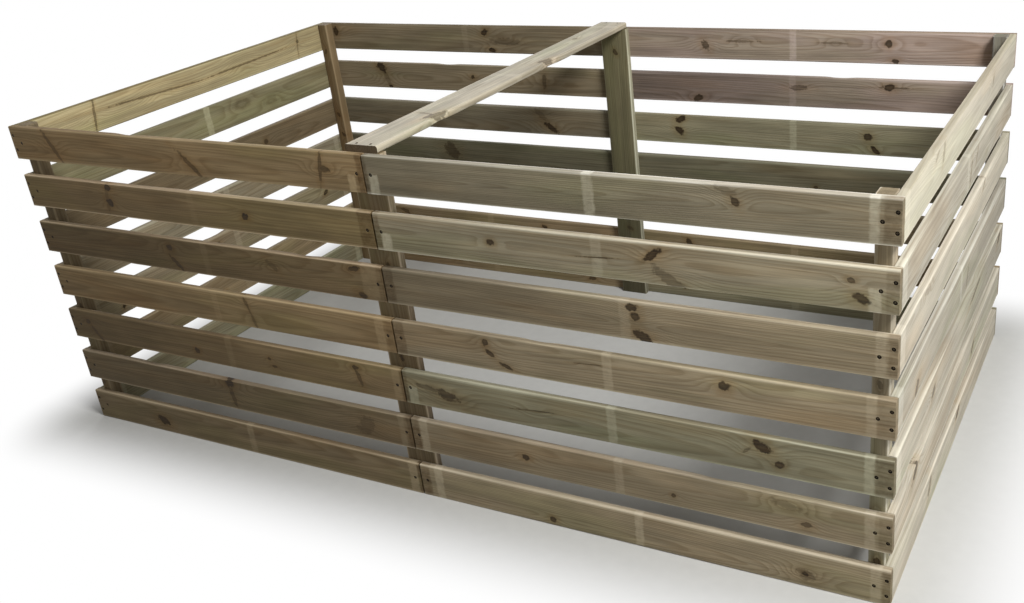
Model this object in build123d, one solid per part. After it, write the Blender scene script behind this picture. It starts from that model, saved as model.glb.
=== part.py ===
"""Slatted timber compost bin: four open walls on posts, with one rail across the top.

The front and back walls have two boards in each row, which meet on a mid post. X runs along the
front wall, Y from the front to the back, Z up. The origin is on the ground under the middle of the
bin. All sizes are in millimetres.
"""

from build123d import *
import os

# Outside of the four walls
LENGTH = 2500.0
DEPTH = 1360.0

# Wall boards, laid on edge one above another
ROWS = 7
SLAT_HEIGHT = 95.0
SLAT_THICKNESS = 18.0
SLAT_GAP = 47.5
SLAT_ARRIS = 2.5
JOINT_GAP = 4.0

# Upright posts inside the walls
POST_SIZE = 38.0
MID_POST_WIDTH = 95.0
MID_POST_THICKNESS = 22.0
POST_ARRIS = 4.0

# Rail across the top, cut from the wall board and laid flat on the two mid posts
RAIL_WIDTH = SLAT_HEIGHT
RAIL_THICKNESS = SLAT_THICKNESS
RAIL_ARRIS = 5.0
RAIL_SHIFT = -8.0

# Countersunk wood screws
HEAD_RADIUS = 4.5
SHANK_RADIUS = 2.25
SCREW_LENGTH = 35.0
HEAD_SINK = 1.0
RECESS_SPAN = 5.0
RECESS_WIDTH = 1.1
RECESS_DEPTH = 1.6
SHANK_CLEARANCE = 0.25

# Screw places
END_SCREW_RISE = 0.22 * SLAT_HEIGHT
MID_SCREW_SPREAD = 0.43 * MID_POST_WIDTH

# Worked out from the sizes above
PITCH = SLAT_HEIGHT + SLAT_GAP
WALL_HEIGHT = ROWS * SLAT_HEIGHT + (ROWS - 1) * SLAT_GAP
INNER_DEPTH = DEPTH - 2 * SLAT_THICKNESS
LONG_BOARD = (LENGTH - JOINT_GAP) / 2
LONG_BOARD_CENTRE = (LONG_BOARD + JOINT_GAP) / 2
HALF_LENGTH = LENGTH / 2
HALF_DEPTH = DEPTH / 2
WALL_CENTRE_X = HALF_LENGTH - SLAT_THICKNESS / 2
WALL_CENTRE_Y = HALF_DEPTH - SLAT_THICKNESS / 2
POST_CENTRE_X = HALF_LENGTH - SLAT_THICKNESS - POST_SIZE / 2
POST_CENTRE_Y = HALF_DEPTH - SLAT_THICKNESS - POST_SIZE / 2
MID_POST_CENTRE_Y = HALF_DEPTH - SLAT_THICKNESS - MID_POST_THICKNESS / 2
RAIL_TOP = WALL_HEIGHT + RAIL_THICKNESS
CONE_HEIGHT = HEAD_RADIUS - SHANK_RADIUS
TIP_HEIGHT = 2 * SHANK_RADIUS
OVERCUT = 1.0

ROW_NUMBERS = range(ROWS)
LEFT = -1
RIGHT = 1
FRONT = -1
BACK = 1
FRONT_OUTWARD = (0, -1, 0)
UPWARD = (0, 0, 1)


def row_centre(row):
    """Height of the middle of a board row, counted from the ground."""
    return SLAT_HEIGHT / 2 + row * PITCH


def eased_bar(x_size, y_size, z_size, long_axis, arris):
    """A sawn bar with its four long edges rounded."""
    bar = Box(x_size, y_size, z_size)
    return fillet(bar.edges().filter_by(long_axis), arris)


def facing(point, outward):
    """Place of a screw: its seat on the board's face and the way its head looks."""
    return Plane(origin=point, z_dir=outward).location


# Screws, made with the head up and the board's face at height zero


def screw_body():
    """Head, shank and point of one screw, without the driver's recess."""
    outline = Polyline(
        (0, -HEAD_SINK),
        (HEAD_RADIUS, -HEAD_SINK),
        (SHANK_RADIUS, -HEAD_SINK - CONE_HEIGHT),
        (SHANK_RADIUS, TIP_HEIGHT - SCREW_LENGTH),
        (0, -SCREW_LENGTH),
        (0, -HEAD_SINK),
    )
    return revolve(make_face(Plane.XZ * outline), Axis.Z)


def driver_recess():
    """The cross in the head that takes the driver."""
    depth_place = Pos(0, 0, -HEAD_SINK - RECESS_DEPTH / 2)
    first_arm = Box(RECESS_SPAN, RECESS_WIDTH, RECESS_DEPTH)
    second_arm = Box(RECESS_WIDTH, RECESS_SPAN, RECESS_DEPTH)
    return depth_place * (first_arm + second_arm)


def board_hole():
    """What a screw takes out of the board it holds: sunk head, cone and clear shank hole."""
    sink_height = HEAD_SINK + OVERCUT
    sink = Pos(0, 0, sink_height / 2 - HEAD_SINK) * Cylinder(HEAD_RADIUS, sink_height)
    shank_height = SLAT_THICKNESS + OVERCUT - HEAD_SINK
    shank_place = Pos(0, 0, -HEAD_SINK - shank_height / 2)
    shank = shank_place * Cylinder(SHANK_RADIUS + SHANK_CLEARANCE, shank_height)
    return sink + shank + screw_body()


SCREW_BODY = screw_body()
SCREW = SCREW_BODY - driver_recess()
BOARD_HOLE = board_hole()


def end_grain_places(row, side):
    """Two screws through a front board's outer end into the end of the side board."""
    places = []
    for rise in (-END_SCREW_RISE, END_SCREW_RISE):
        point = (side * WALL_CENTRE_X, -HALF_DEPTH, row_centre(row) + rise)
        places.append(facing(point, FRONT_OUTWARD))
    return places


def corner_post_place(row, side):
    """The screw through a front board into its corner post."""
    return facing((side * POST_CENTRE_X, -HALF_DEPTH, row_centre(row)), FRONT_OUTWARD)


def mid_post_place(row, side):
    """The screw through a front board's inner end into the mid post."""
    return facing((side * MID_SCREW_SPREAD / 2, -HALF_DEPTH, row_centre(row)), FRONT_OUTWARD)


def front_board_places(row, side):
    """Every screw of one front board."""
    post_places = [corner_post_place(row, side), mid_post_place(row, side)]
    return end_grain_places(row, side) + post_places


def rail_places(end):
    """Two screws down through the front or back end of the rail."""
    places = []
    for side in (LEFT, RIGHT):
        point = (RAIL_SHIFT + side * MID_SCREW_SPREAD / 2, end * MID_POST_CENTRE_Y, RAIL_TOP)
        places.append(facing(point, UPWARD))
    return places


def drilled(solid, tool, places):
    """A solid with one hole at each screw place."""
    return solid - [place * tool for place in places]


# Boards, posts and rail


def front_left_slat():
    """Lowest board left of the front joint. It covers the end of the left wall's board."""
    bar = eased_bar(LONG_BOARD, SLAT_THICKNESS, SLAT_HEIGHT, Axis.X, SLAT_ARRIS)
    board = Pos(LEFT * LONG_BOARD_CENTRE, -WALL_CENTRE_Y, row_centre(0)) * bar
    return drilled(board, BOARD_HOLE, front_board_places(0, LEFT))


def left_end_slat():
    """Lowest board of the left wall, held by screws in its two ends."""
    bar = eased_bar(SLAT_THICKNESS, INNER_DEPTH, SLAT_HEIGHT, Axis.Y, SLAT_ARRIS)
    board = Pos(LEFT * WALL_CENTRE_X, 0, row_centre(0)) * bar
    front_drilled = drilled(board, SCREW_BODY, end_grain_places(0, LEFT))
    back_drilled = mirror(front_drilled, about=Plane.XZ)
    return front_drilled & back_drilled


def front_left_post():
    """Corner post inside the front and left walls, one screw in it from each front board."""
    bar = eased_bar(POST_SIZE, POST_SIZE, WALL_HEIGHT, Axis.Z, POST_ARRIS)
    post = Pos(LEFT * POST_CENTRE_X, -POST_CENTRE_Y, WALL_HEIGHT / 2) * bar
    places = [corner_post_place(row, LEFT) for row in ROW_NUMBERS]
    return drilled(post, SCREW_BODY, places)


def front_mid_post():
    """Wide, flat post behind the joints of the front wall, which also carries the rail."""
    bar = eased_bar(MID_POST_WIDTH, MID_POST_THICKNESS, WALL_HEIGHT, Axis.Z, POST_ARRIS)
    post = Pos(0, -MID_POST_CENTRE_Y, WALL_HEIGHT / 2) * bar
    places = rail_places(FRONT)
    for row in ROW_NUMBERS:
        places += [mid_post_place(row, LEFT), mid_post_place(row, RIGHT)]
    return drilled(post, SCREW_BODY, places)


def cross_rail():
    """Flat board from the front mid post to the back one."""
    bar = eased_bar(RAIL_WIDTH, INNER_DEPTH, RAIL_THICKNESS, Axis.Y, RAIL_ARRIS)
    rail = Pos(RAIL_SHIFT, 0, WALL_HEIGHT + RAIL_THICKNESS / 2) * bar
    return drilled(rail, BOARD_HOLE, rail_places(FRONT) + rail_places(BACK))


def front_screws():
    """All the screws of the front wall."""
    places = []
    for row in ROW_NUMBERS:
        places += front_board_places(row, LEFT) + front_board_places(row, RIGHT)
    return [place * SCREW for place in places]


def save(node, solids):
    """Write one node's solids in their place in the bin."""
    export_step(Compound(children=solids), os.path.join("parts", node + ".step"))


def main():
    """Make one of each kind of piece, and place its copies."""
    os.makedirs("parts", exist_ok=True)
    to_back = Plane.XZ
    to_right = Plane.YZ

    front_left = front_left_slat()
    front_right = mirror(front_left, about=to_right)
    left_end = left_end_slat()
    boards = {
        "front_left_slat": front_left,
        "front_right_slat": front_right,
        "back_left_slat": mirror(front_left, about=to_back),
        "back_right_slat": mirror(front_right, about=to_back),
        "left_end_slat": left_end,
        "right_end_slat": mirror(left_end, about=to_right),
    }
    for row in ROW_NUMBERS:
        for kind, board in boards.items():
            save(kind + "_" + str(row + 1), [Pos(0, 0, row * PITCH) * board])

    left_post = front_left_post()
    right_post = mirror(left_post, about=to_right)
    mid_post = front_mid_post()
    save("front_left_post", [left_post])
    save("front_right_post", [right_post])
    save("front_mid_post", [mid_post])
    save("back_left_post", [mirror(left_post, about=to_back)])
    save("back_right_post", [mirror(right_post, about=to_back)])
    save("back_mid_post", [mirror(mid_post, about=to_back)])

    wall_screws = front_screws()
    save("cross_rail", [cross_rail()])
    save("front_screws", wall_screws)
    save("back_screws", [mirror(screw, about=to_back) for screw in wall_screws])
    save("rail_screws", [place * SCREW for place in rail_places(FRONT) + rail_places(BACK)])


main()
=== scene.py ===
"""Looks of a slatted compost bin of treated pine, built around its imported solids.

Every board, post, rail and screw is made again with the marks of real sawn timber and stands for
the solid of the same name. Lengths are in metres, and the marks on the boards in millimetres. X
runs along the front wall, Y from the front to the back, Z up.
"""

import logging
import math
import random
from dataclasses import dataclass, replace
from enum import Enum
from typing import Any, Optional, Sequence, Union

import bpy
from mathutils import Matrix, Vector


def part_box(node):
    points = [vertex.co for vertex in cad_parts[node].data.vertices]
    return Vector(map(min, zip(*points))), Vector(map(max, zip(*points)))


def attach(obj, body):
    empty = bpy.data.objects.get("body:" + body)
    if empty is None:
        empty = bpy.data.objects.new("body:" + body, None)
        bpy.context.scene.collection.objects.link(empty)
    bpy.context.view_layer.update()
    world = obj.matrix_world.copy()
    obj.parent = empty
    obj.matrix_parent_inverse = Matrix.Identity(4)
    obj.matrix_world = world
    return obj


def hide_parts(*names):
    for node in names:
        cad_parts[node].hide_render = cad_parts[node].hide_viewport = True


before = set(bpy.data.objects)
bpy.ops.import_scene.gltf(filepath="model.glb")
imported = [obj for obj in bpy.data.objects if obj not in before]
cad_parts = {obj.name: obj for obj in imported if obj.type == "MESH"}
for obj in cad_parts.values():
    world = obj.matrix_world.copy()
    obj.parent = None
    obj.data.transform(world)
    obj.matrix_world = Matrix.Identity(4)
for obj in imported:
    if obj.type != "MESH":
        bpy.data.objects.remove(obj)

LOG = logging.getLogger("compost_bin")
BODY = "root"
MM = 0.001
SHARP_ANGLE = math.radians(38)
ROWS = range(1, 8)
IMAGE_WIDTH = 1024
IMAGE_HEIGHT = 603
ONE_OVER_E = 0.3679
NOISE_MIDDLE = (0.5, 0.5, 0.5)
WHITE = (1.0, 1.0, 1.0, 1.0)

Triple = tuple[float, float, float]
Point = tuple[float, float]
Colour = tuple[float, float, float, float]


def linear(red: int, green: int, blue: int) -> Colour:
    """Turn a colour as seen on a screen into the renderer's light values.

    Args:
        red: Red from 0 to 255.
        green: Green from 0 to 255.
        blue: Blue from 0 to 255.

    Returns:
        The colour with full alpha.
    """
    values = []
    for level in (red, green, blue):
        share = level / 255
        values.append(share / 12.92 if share <= 0.04045 else ((share + 0.055) / 1.055) ** 2.4)
    return (values[0], values[1], values[2], 1.0)


class Slot(Enum):
    """The record's material slots."""

    PINE = "treated_pine"
    POST = "post_timber"
    STEEL = "screw_steel"


class Lay(Enum):
    """How a timber lies: the world axes of its length, its thickness and its width."""

    LONG_WALL = ((1, 0, 0), (0, 1, 0), (0, 0, 1))
    END_WALL = ((0, 1, 0), (-1, 0, 0), (0, 0, 1))
    UPRIGHT = ((0, 0, 1), (0, 1, 0), (-1, 0, 0))
    FLAT = ((0, 1, 0), (0, 0, 1), (1, 0, 0))

    @property
    def matrix(self) -> Matrix:
        """Turn from the timber's own axes to the world's."""
        return Matrix(self.value).transposed()

    @property
    def length_axis(self) -> Vector:
        """World direction of the grain."""
        return Vector(self.value[0])

    def size(self, spread: Vector) -> Vector:
        """Length, thickness and width of a timber from its box in the world."""
        return Vector([abs(spread.dot(Vector(axis))) for axis in self.value])


class Facing(Enum):
    """Which way a screw's head looks, as turns about X, Y and Z."""

    FRONT = (math.pi / 2, 0.0, 0.0)
    BACK = (-math.pi / 2, 0.0, 0.0)
    UP = (0.0, 0.0, 0.0)


class Tone(Enum):
    """Colour of the wood between the dark rings, under plain light."""

    GREY = (158, 148, 124)
    MOSS = (150, 144, 118)
    OLIVE = (152, 144, 112)
    TAUPE = (156, 142, 116)
    BROWN = (154, 136, 106)
    UMBER = (150, 129, 96)
    ROSE = (170, 152, 140)
    HONEY = (180, 166, 128)
    # Partly painted light: the brightly lit right wall and rail get this paler colour
    PALE = (191, 184, 168)


@dataclass(frozen=True)
class Knot:
    """A branch that the saw cut through, or a split when it is very narrow. In millimetres.

    Attributes:
        start: One end, as the place along the wall and the height above the board's middle.
        end: The other end.
        width: How wide it is.
        dark: How dark, from 0 to 1.
    """

    start: Point
    end: Point
    width: float
    dark: float = 0.9

    @property
    def middle(self) -> Point:
        """Middle of the knot."""
        return ((self.start[0] + self.end[0]) / 2, (self.start[1] + self.end[1]) / 2)

    @property
    def half_length(self) -> float:
        """Half of the knot's length."""
        return math.dist(self.start, self.end) / 2

    @property
    def lean(self) -> float:
        """Angle of the knot to the grain."""
        return math.atan2(self.end[1] - self.start[1], self.end[0] - self.start[0])


def spot(at: float, across: float, length: float, width: float, dark: float = 0.9,
         lean: float = 0.0) -> Knot:
    """Make a round or oval knot. Lengths are in millimetres.

    Args:
        at: Place along the wall.
        across: Height above the board's middle.
        length: Longer size.
        width: Shorter size.
        dark: How dark, from 0 to 1.
        lean: Angle to the grain in degrees.

    Returns:
        The knot.
    """
    reach = Vector((math.cos(math.radians(lean)), math.sin(math.radians(lean)))) * length / 2
    return Knot((at - reach.x, across - reach.y), (at + reach.x, across + reach.y), width, dark)


@dataclass(frozen=True)
class Band:
    """A stripe across a board, paler or darker than the rest, such as where a drying stick lay. In
    millimetres.

    Attributes:
        at: Place of its middle along the wall.
        width: How wide it is.
        strength: How clearly it shows, from 0 to 1.
        low: Where it starts across the board, from the board's middle.
        high: Where it ends.
    """

    at: float
    width: float
    strength: float
    low: float = -100.0
    high: float = 100.0


@dataclass(frozen=True)
class BoardLook:
    """What sets one board apart from the next.

    Attributes:
        tone: Its colour.
        light: Factor on that colour, which holds painted shade and light as well as the board's own
            lightness.
        knots: Knots and splits.
        pale: Stripes that stayed pale.
        shade: Darker stripes.
        wane: Places along the wall where bark edge is left, at most two, in millimetres.
        fade: Factors on the colour at its two ends, a painted gradient of light and shade along it.
        end_dark: How dark its end grain is, from 0 to 1; at full strength, as on the rail, it is
            partly painted shade.
        painted_edge_light: Factor on the colour of its narrow edges, a painted highlight above 1
            and painted shade below 1.
        rings: How clearly its figure shows, from 0 to 1.
    """

    tone: Tone
    light: float = 1.0
    knots: tuple[Knot, ...] = ()
    pale: tuple[Band, ...] = ()
    shade: tuple[Band, ...] = ()
    wane: tuple[float, ...] = ()
    fade: Point = (1.0, 1.0)
    end_dark: float = 0.15
    painted_edge_light: float = 1.0
    rings: float = 1.0


class Wire:
    """An output of a node, which takes part in sums as a number or a vector does."""

    def __init__(self, graph: "Graph", socket: bpy.types.NodeSocket) -> None:
        """Take the output and the graph that it belongs to."""
        self.graph = graph
        self.socket = socket

    def sum(self, operation: str, *others: Any, output: int = 0) -> "Wire":
        """Add a math node that starts with this value.

        Args:
            operation: Blender's name of the sum.
            others: The sum's other values.
            output: Number of the node's output, 1 where a vector sum gives a number.

        Returns:
            The result.
        """
        plain = self.socket.type in ("VALUE", "INT")
        kind = "ShaderNodeMath" if plain else "ShaderNodeVectorMath"
        values = dict(enumerate((self, *others)))
        return self.graph.add(kind, values, output, operation=operation)

    def __add__(self, other: Any) -> "Wire":
        """Sum of two values."""
        return self.sum("ADD", other)

    def __sub__(self, other: Any) -> "Wire":
        """Difference of two values."""
        return self.sum("SUBTRACT", other)

    def __mul__(self, other: Any) -> "Wire":
        """Product of two values."""
        return self.sum("MULTIPLY", other)

    def __truediv__(self, other: Any) -> "Wire":
        """Quotient of two values."""
        return self.sum("DIVIDE", other)

    def __pow__(self, other: Any) -> "Wire":
        """This number to a power."""
        return self.sum("POWER", other)

    def __rpow__(self, base: float) -> "Wire":
        """A plain number to the power of this one."""
        return self.graph.add("ShaderNodeMath", {0: base, 1: self}, operation="POWER")

    def __abs__(self) -> "Wire":
        """The value without its sign."""
        return self.sum("ABSOLUTE")

    def top(self, other: Any) -> "Wire":
        """The greater of two values."""
        return self.sum("MAXIMUM", other)

    def length(self) -> "Wire":
        """Length of a vector."""
        return self.sum("LENGTH", output=1)

    def parts(self) -> list["Wire"]:
        """The three numbers of a vector."""
        return self.graph.wires(self.graph.node("ShaderNodeSeparateXYZ", {0: self}))

    def ramp(self, low: Any, high: Any, to_low: Any = 0.0, to_high: Any = 1.0,
             smooth: bool = True) -> "Wire":
        """Carry the number from one range to another, and stop at its ends.

        Args:
            low: Where the first range starts.
            high: Where it ends.
            to_low: Result at the start.
            to_high: Result at the end.
            smooth: Ease in and out.

        Returns:
            The result.
        """
        inputs = dict(enumerate((self, low, high, to_low, to_high)))
        kind = "SMOOTHSTEP" if smooth else "LINEAR"
        return self.graph.add("ShaderNodeMapRange", inputs, interpolation_type=kind)


class Graph:
    """Writes one node tree: adds nodes, fills their inputs and links them."""

    def __init__(self, tree: bpy.types.NodeTree) -> None:
        """Take the tree to write in."""
        self.tree = tree

    def fill(self, node: bpy.types.Node, inputs: dict[Any, Any]) -> None:
        """Link a node's inputs to other outputs, or give them plain values.

        Args:
            node: The node.
            inputs: Wires or values by the input's name or number.
        """
        for key, value in inputs.items():
            if isinstance(value, Wire):
                self.tree.links.new(value.socket, node.inputs[key])
            else:
                node.inputs[key].default_value = value

    def node(self, kind: str, inputs: Optional[dict[Any, Any]] = None,
             **settings: Any) -> bpy.types.Node:
        """Add a node.

        Args:
            kind: Blender's name of the node.
            inputs: Wires or values by the input's name or number.
            settings: Properties of the node.

        Returns:
            The new node.
        """
        node = self.tree.nodes.new(kind)
        for name, value in settings.items():
            setattr(node, name, value)
        self.fill(node, inputs or {})
        return node

    def add(self, kind: str, inputs: Optional[dict[Any, Any]] = None, output: Any = 0,
            **settings: Any) -> Wire:
        """Add a node, as above, and give the output with a name or number."""
        return Wire(self, self.node(kind, inputs, **settings).outputs[output])

    def wires(self, node: bpy.types.Node) -> list[Wire]:
        """All outputs of a node."""
        return [Wire(self, output) for output in node.outputs]

    def join(self, x: Any, y: Any, z: Any) -> Wire:
        """Make a vector of three numbers."""
        return self.add("ShaderNodeCombineXYZ", {0: x, 1: y, 2: z})

    def noise(self, place: Wire, scale: float = 1.0, detail: float = 2.0, rough: float = 0.5,
              output: str = "Fac") -> Wire:
        """Add a noise texture at a place."""
        inputs = {"Vector": place, "Scale": scale, "Detail": detail, "Roughness": rough}
        return self.add("ShaderNodeTexNoise", inputs, output, noise_dimensions="3D")

    def mix(self, share: Any, first: Any, second: Any, blend: str = "MIX") -> Wire:
        """Mix two colours by a share."""
        inputs = {0: share, 6: first, 7: second}
        return self.add("ShaderNodeMix", inputs, 2, data_type="RGBA", blend_type=blend)

    def surface(self, inputs: dict[str, Any], height: Wire, strength: float, depth: float) -> None:
        """End a material with a surface.

        Args:
            inputs: Inputs of the surface's shader.
            height: Height of its bumps from 0 to 1.
            strength: How clearly they show.
            depth: Their greatest height.
        """
        relief = {"Strength": strength, "Distance": depth, "Height": height}
        normal = self.add("ShaderNodeBump", relief)
        shader = self.add("ShaderNodeBsdfPrincipled", inputs | {"Normal": normal})
        self.node("ShaderNodeOutputMaterial", {"Surface": shader})

    def turn(self, angles: Wire) -> Wire:
        """Make a rotation of three angles."""
        return self.add("FunctionNodeEulerToRotation", {0: angles})

    def strewn(self, points: Wire, piece: Wire, turn: Wire) -> Wire:
        """Put a copy of a piece at each point.

        Args:
            points: The points.
            piece: The piece.
            turn: Rotation of the copies.

        Returns:
            One mesh of all copies.
        """
        inputs = {"Points": points, "Instance": piece, "Rotation": turn}
        copies = self.add("GeometryNodeInstanceOnPoints", inputs)
        return self.add("GeometryNodeRealizeInstances", {0: copies})

    def cut(self, mesh: Wire, *tools: Wire) -> Wire:
        """Take the shapes of some tools out of a mesh.

        Args:
            mesh: The mesh.
            tools: The tools.

        Returns:
            What is left of the mesh.
        """
        node = self.node("GeometryNodeMeshBoolean", {"Mesh 1": mesh}, operation="DIFFERENCE",
                         solver="EXACT")
        for tool in tools:
            self.fill(node, {"Mesh 2": tool})
        return Wire(self, node.outputs["Mesh"])

    def dressed(self, mesh: Wire, finish: Wire) -> Wire:
        """Give a mesh its material."""
        return self.add("GeometryNodeSetMaterial", {"Geometry": mesh, "Material": finish})


def blank(owner: Union[bpy.types.Material, bpy.types.World]) -> Graph:
    """Empty the nodes of a new material or world.

    Args:
        owner: The material or world.

    Returns:
        The writer of its nodes.
    """
    owner.use_nodes = True
    owner.node_tree.nodes.clear()
    return Graph(owner.node_tree)


class Kind(Enum):
    """Kinds of inputs and outputs of a node tree, in Blender's words."""

    NUMBER = "NodeSocketFloat"
    WHOLE = "NodeSocketInt"
    VECTOR = "NodeSocketVector"
    COLOUR = "NodeSocketColor"
    MATERIAL = "NodeSocketMaterial"
    MESH = "NodeSocketGeometry"


def new_tree(name: str, kind: str, inputs: dict[Kind, str], outputs: dict[Kind, str]
             ) -> tuple[Graph, dict[str, Wire], bpy.types.Node]:
    """Start a node tree with named inputs and outputs.

    Args:
        name: Name of the tree.
        kind: Shader or geometry tree, in Blender's words.
        inputs: Names of the inputs by their kind, with commas between them.
        outputs: Names of the outputs in the same way.

    Returns:
        The tree's writer, its inputs by name and its output node.
    """
    tree = bpy.data.node_groups.new(name, kind)
    for side, sockets in (("INPUT", inputs), ("OUTPUT", outputs)):
        for socket, labels in sockets.items():
            for label in labels.split(", "):
                tree.interface.new_socket(name=label, in_out=side, socket_type=socket.value)
    graph = Graph(tree)
    given = graph.wires(graph.node("NodeGroupInput"))
    return graph, {wire.socket.name: wire for wire in given}, graph.node("NodeGroupOutput")


class PineFigure:
    """The node groups that every pine material shares: knots, stripes and the wood itself."""

    RING = ((0.0, 0.30), (0.07, 0.0), (0.45, 0.12), (0.86, 1.0), (0.96, 0.85), (1.0, 0.30))
    RING_STRENGTH = 0.53
    GREEN_BLOTCH = (0.90, 0.98, 0.84, 1.0)
    RED_BLOTCH = (0.96, 0.86, 0.76, 1.0)
    KNOT_HALO = (0.84, 0.70, 0.52, 1.0)
    DARK_STRIPE = (0.50, 0.43, 0.36, 1.0)
    # Darker end grain; at full strength, on the rail's front end, partly painted shade
    END_GRAIN = (0.20, 0.16, 0.12, 1.0)
    BARK = (linear(30, 23, 15), linear(62, 48, 30))

    def __init__(self) -> None:
        """Write the three groups."""
        self.knot = self._knot()
        self.stripe = self._stripe()
        self.wood = self._wood()

    def _knot(self) -> bpy.types.NodeTree:
        """Write the group that adds one knot to those before it.

        Returns:
            The group. Its lift bends the rings round the knot.
        """
        g, gets, result = new_tree(
            "pine_knot", "ShaderNodeTree",
            {Kind.VECTOR: "Place, Centre, Spread",
             Kind.NUMBER: "Wobble, Lean, Reach, Dark, Lift, Stain, Halo"},
            {Kind.NUMBER: "Lift, Stain, Halo"},
        )
        offset = gets["Place"] - gets["Centre"]
        turned = g.add("ShaderNodeVectorRotate", {"Vector": offset, "Angle": gets["Lean"]},
                       rotation_type="Y_AXIS")
        ragged = gets["Wobble"] * 1.9 + (turned * gets["Spread"]).length()
        core = ragged.ramp(1.25, 0.75) * ragged.ramp(0.1, 0.85, 0.9, 1.0)
        away = (offset * (0.28, 0.0, 0.75)).length() / gets["Reach"]
        bulge = ONE_OVER_E ** (away * away) * gets["Reach"]
        g.fill(result, {
            "Lift": bulge * 0.9 + gets["Lift"],
            "Stain": gets["Stain"].top(core * gets["Dark"]),
            "Halo": gets["Halo"].top(ragged.ramp(3.2, 0.8) * gets["Dark"]),
        })
        return g.tree

    def _stripe(self) -> bpy.types.NodeTree:
        """Write the group that adds one stripe across the board to those before it.

        Returns:
            The group.
        """
        g, gets, result = new_tree(
            "pine_stripe", "ShaderNodeTree",
            {Kind.VECTOR: "Place",
             Kind.NUMBER: "Wobble, At, Half Width, Low, High, Strength, Sum"},
            {Kind.NUMBER: "Sum"},
        )
        wobble = gets["Wobble"]
        along, _, across = gets["Place"].parts()
        ragged = wobble * 0.007 + abs(along - gets["At"])
        height = wobble * 0.02 + across
        window = ragged.ramp(gets["Half Width"] + 0.003, gets["Half Width"] - 0.004)
        for inside in (height - gets["Low"], gets["High"] - height):
            window = window * inside.ramp(-0.004, 0.004)
        shown = window * wobble.ramp(-0.25, 0.25, 1.0, 0.5) * gets["Strength"]
        g.fill(result, {"Sum": gets["Sum"].top(shown)})
        return g.tree

    def _wood(self) -> bpy.types.NodeTree:
        """Write the group that draws sawn pine from a log's rings and a board's marks.

        Returns:
            The group.
        """
        g, gets, result = new_tree(
            "treated_pine", "ShaderNodeTree",
            {Kind.VECTOR: "Place, Grain, Half, Pith",
             Kind.NUMBER: "Seed, Ring Gap, Lift, Stain, Halo, Pale, Shade, Start Light, "
                          "Stop Light, End Dark, Edge Light, Rings",
             Kind.COLOUR: "Early Wood, Late Wood, Bare Wood"},
            {Kind.COLOUR: "Colour", Kind.NUMBER: "Roughness, Height"},
        )
        place, seed, rings, stain = gets["Place"], gets["Seed"], gets["Rings"], gets["Stain"]
        shift = g.join(seed, seed, seed) * (3.7, 1.9, 2.3)

        def noise(*stretch: float, **settings: Any) -> Wire:
            """Noise in the board, stretched along its axes and moved by the board's seed."""
            return g.noise(place.sum("MULTIPLY_ADD", stretch, shift), **settings)

        # Rings of the log: distance from a pith that wanders along the board
        along, depth, across = place.parts()
        run, pith_depth, pith_across = gets["Pith"].parts()
        wander = noise(0.8, 0.0, 0.0, detail=1.0, output="Color") - NOISE_MIDDLE
        _, sway_depth, sway_across = (wander * (0.0, 0.02, 0.03)).parts()
        from_depth = depth - (along * run + (pith_depth + sway_depth))
        from_across = across - (pith_across + sway_across)
        ripple = (noise(2.5, 45.0, 45.0) - 0.5) * 0.006
        radius = g.join(0.0, from_depth, from_across).length() + ripple + gets["Lift"]
        years = g.noise(g.join(radius * 60.0, seed, 0.0), detail=1.0)
        count = years * 1.6 + radius / gets["Ring Gap"]
        late = self._ring_profile(g, count.sum("FRACT"))

        # What varies over the board, and where its ends and edges are
        fibre = noise(7.0, 420.0, 420.0, detail=3.0, rough=0.65)
        streak = noise(1.3, 60.0, 75.0)
        blotch = noise(1.7, 3.0, 9.0)
        mottle = noise(6.0, 16.0, 24.0, detail=3.0)
        normal = g.add("ShaderNodeNewGeometry", output="Normal")
        end = abs(normal.sum("DOT_PRODUCT", gets["Grain"], output=1)).ramp(0.6, 0.85)
        half_along, half_depth, half_across = gets["Half"].parts()
        near_across = half_across - abs(across)
        arris = (half_depth - abs(depth) + near_across).ramp(0.009, 0.002)
        # Painted light and shade on the narrow edges: lit edges and post sides made lighter, shaded
        # ones darker
        narrow = near_across.ramp(0.004, 0.0015) * streak.ramp(0.3, 0.6, 0.7, 1.0)
        painted_edge_light = narrow.ramp(0.0, 1.0, 1.0, gets["Edge Light"], False)

        # Colour, from the clean wood to the bark in its knots
        uneven = fibre.ramp(0.3, 0.7, 0.88, 1.1) * streak.ramp(0.3, 0.7, 0.87, 1.1)
        uneven = uneven * mottle.ramp(0.32, 0.68, 0.9, 1.1)
        uneven = (uneven - 1.0) * rings + 1.0
        # Painted light falloff: the colour is scaled from one end of the board to the other
        fade = along.ramp(half_along * -1.0, half_along, gets["Start Light"], gets["Stop Light"])
        colour = g.mix(late * self.RING_STRENGTH * rings, gets["Early Wood"], gets["Late Wood"])
        for share, tint in (
            (1.0, g.join(uneven, uneven, uneven)),
            (1.0, g.join(fade, fade, fade)),
            (blotch.ramp(0.5, 0.68, 0.0, 0.62) * rings, self.GREEN_BLOTCH),
            (blotch.ramp(0.48, 0.32, 0.0, 0.62) * rings, self.RED_BLOTCH),
            (gets["Halo"] * 0.6, self.KNOT_HALO),
            (gets["Shade"], self.DARK_STRIPE),
        ):
            colour = g.mix(share, colour, tint, "MULTIPLY")
        # Pale stick marks, and paler rounded edges that are partly wear and partly a painted
        # highlight
        for share in (gets["Pale"], arris * streak.ramp(0.4, 0.6, 0.1, 0.6)):
            colour = g.mix(share, colour, gets["Bare Wood"])
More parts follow.
